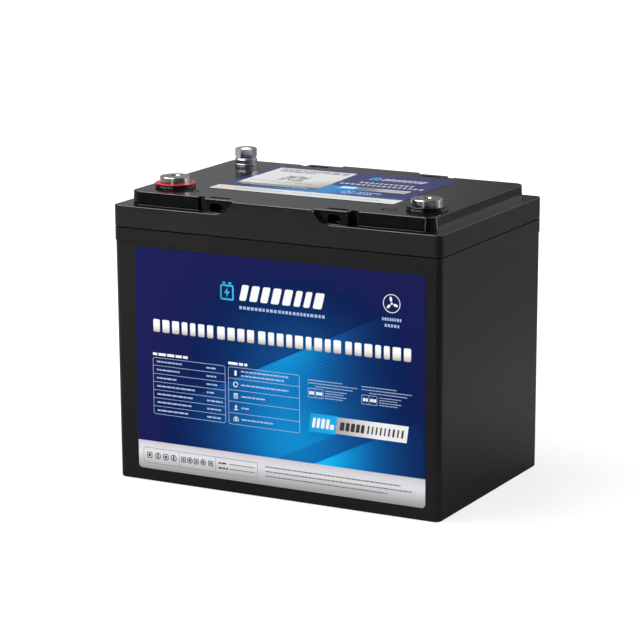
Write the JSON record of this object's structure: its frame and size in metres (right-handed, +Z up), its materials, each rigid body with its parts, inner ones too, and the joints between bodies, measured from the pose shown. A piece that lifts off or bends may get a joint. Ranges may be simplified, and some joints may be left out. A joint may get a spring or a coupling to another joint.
{
  "type": "deep cycle battery",
  "caption": "Sealed deep cycle leisure battery: moulded case with bonded lid, tapped terminals, relief vent valve, rope handle holes and printed labels.",
  "frame": {"origin": "centre of the case's underside, on the surface it stands on", "axes": "+X along the long side, to the right as one faces the main label; +Y from the main label to the back; +Z up"},
  "size_m": [0.26, 0.1684, 0.2237],
  "materials": {
    "case_plastic": "fine moulded grain, satin, charcoal",
    "label_film": "printed film, blue gradient, semi-gloss",
    "sticker_paper": "printed silver-white sticker",
    "terminal_metal": "turned, nickel plated",
    "ring_red": "moulded red washer",
    "ring_black": "moulded black washer",
    "seal_rubber": "black moulded rubber",
    "brass_nut": "machined",
    "valve_chrome": "bright plated",
    "collar_steel": "bright plated steel",
    "zinc_steel": "zinc plated",
    "poppet_rubber": "red silicone rubber",
    "membrane_white": "porous white membrane",
    "cell_film": "blue insulating film over an aluminium can",
    "post_aluminium": "machined",
    "board_paper": "pressed insulating board",
    "strap_steel": "thin steel band",
    "foam_grey": "closed cell foam",
    "carrier_cream": "moulded, cream",
    "copper": "plain copper sheet",
    "bracket_black": "moulded, black",
    "board_green": "solder mask on glass fibre board",
    "chip_black": "moulded component body",
    "plate_aluminium": "extruded fins",
    "connector_cream": "moulded connector",
    "module_blue": "small circuit board with a metal can",
    "wire_red": "red cable sheath",
    "wire_black": "black cable sheath",
    "wire_grey": "light grey wire sheath",
    "lug_tin": "tinned copper lug"
  },
  "bodies": {
    "case": {"container": "case_plastic", "lid": "case_plastic", "lid_seal": "seal_rubber", "front_label": "label_film", "top_label": "label_film", "info_sticker": "sticker_paper", "positive_terminal": "terminal_metal", "positive_ring": "ring_red", "positive_gasket": "seal_rubber", "positive_o_ring": "seal_rubber", "positive_nuts": "brass_nut", "negative_terminal": "terminal_metal", "negative_ring": "ring_black", "negative_gasket": "seal_rubber", "negative_o_ring": "seal_rubber", "negative_nuts": "brass_nut", "vent_body": "valve_chrome", "vent_collar": "collar_steel", "vent_nut": "zinc_steel", "vent_seat": "brass_nut", "vent_spring": "zinc_steel", "vent_membrane": "membrane_white", "cell_1": "cell_film", "cell_2": "cell_film", "cell_3": "cell_film", "cell_4": "cell_film", "cell_posts": "post_aluminium", "cell_burst_discs": "post_aluminium", "cell_separators": "board_paper", "end_plates": "board_paper", "strap_lower": "strap_steel", "strap_upper": "strap_steel", "base_pad": "foam_grey", "side_pad_left": "foam_grey", "side_pad_right": "foam_grey", "busbar_carrier": "carrier_cream", "busbar_1": "copper", "busbar_2": "copper", "busbar_3": "copper", "post_nuts": "zinc_steel", "bms_bracket": "bracket_black", "bms_board": "board_green", "bms_mosfets": "chip_black", "bms_heat_plate": "plate_aluminium", "bms_screws": "zinc_steel", "bms_shunts": "copper", "bms_connector": "connector_cream", "bms_lug_screws": "zinc_steel", "wireless_module": "module_blue", "temperature_sensor": "wire_black", "positive_lead": "wire_red", "positive_lugs": "lug_tin", "negative_lead": "wire_black", "negative_lugs": "lug_tin", "pack_lead": "wire_black", "pack_lugs": "lug_tin", "balance_harness": "wire_grey"},
    "poppet": {"vent_poppet": "poppet_rubber"}
  },
  "joints": [
    {"name": "vent_lift", "type": "slide", "parent": "case", "child": "poppet", "axis": [0, 0, 1], "range_m": [0, 0.0015], "stiffness_N_per_m": 150, "springref_m": -0.001, "deforming": ["vent_spring"]}
  ]
}
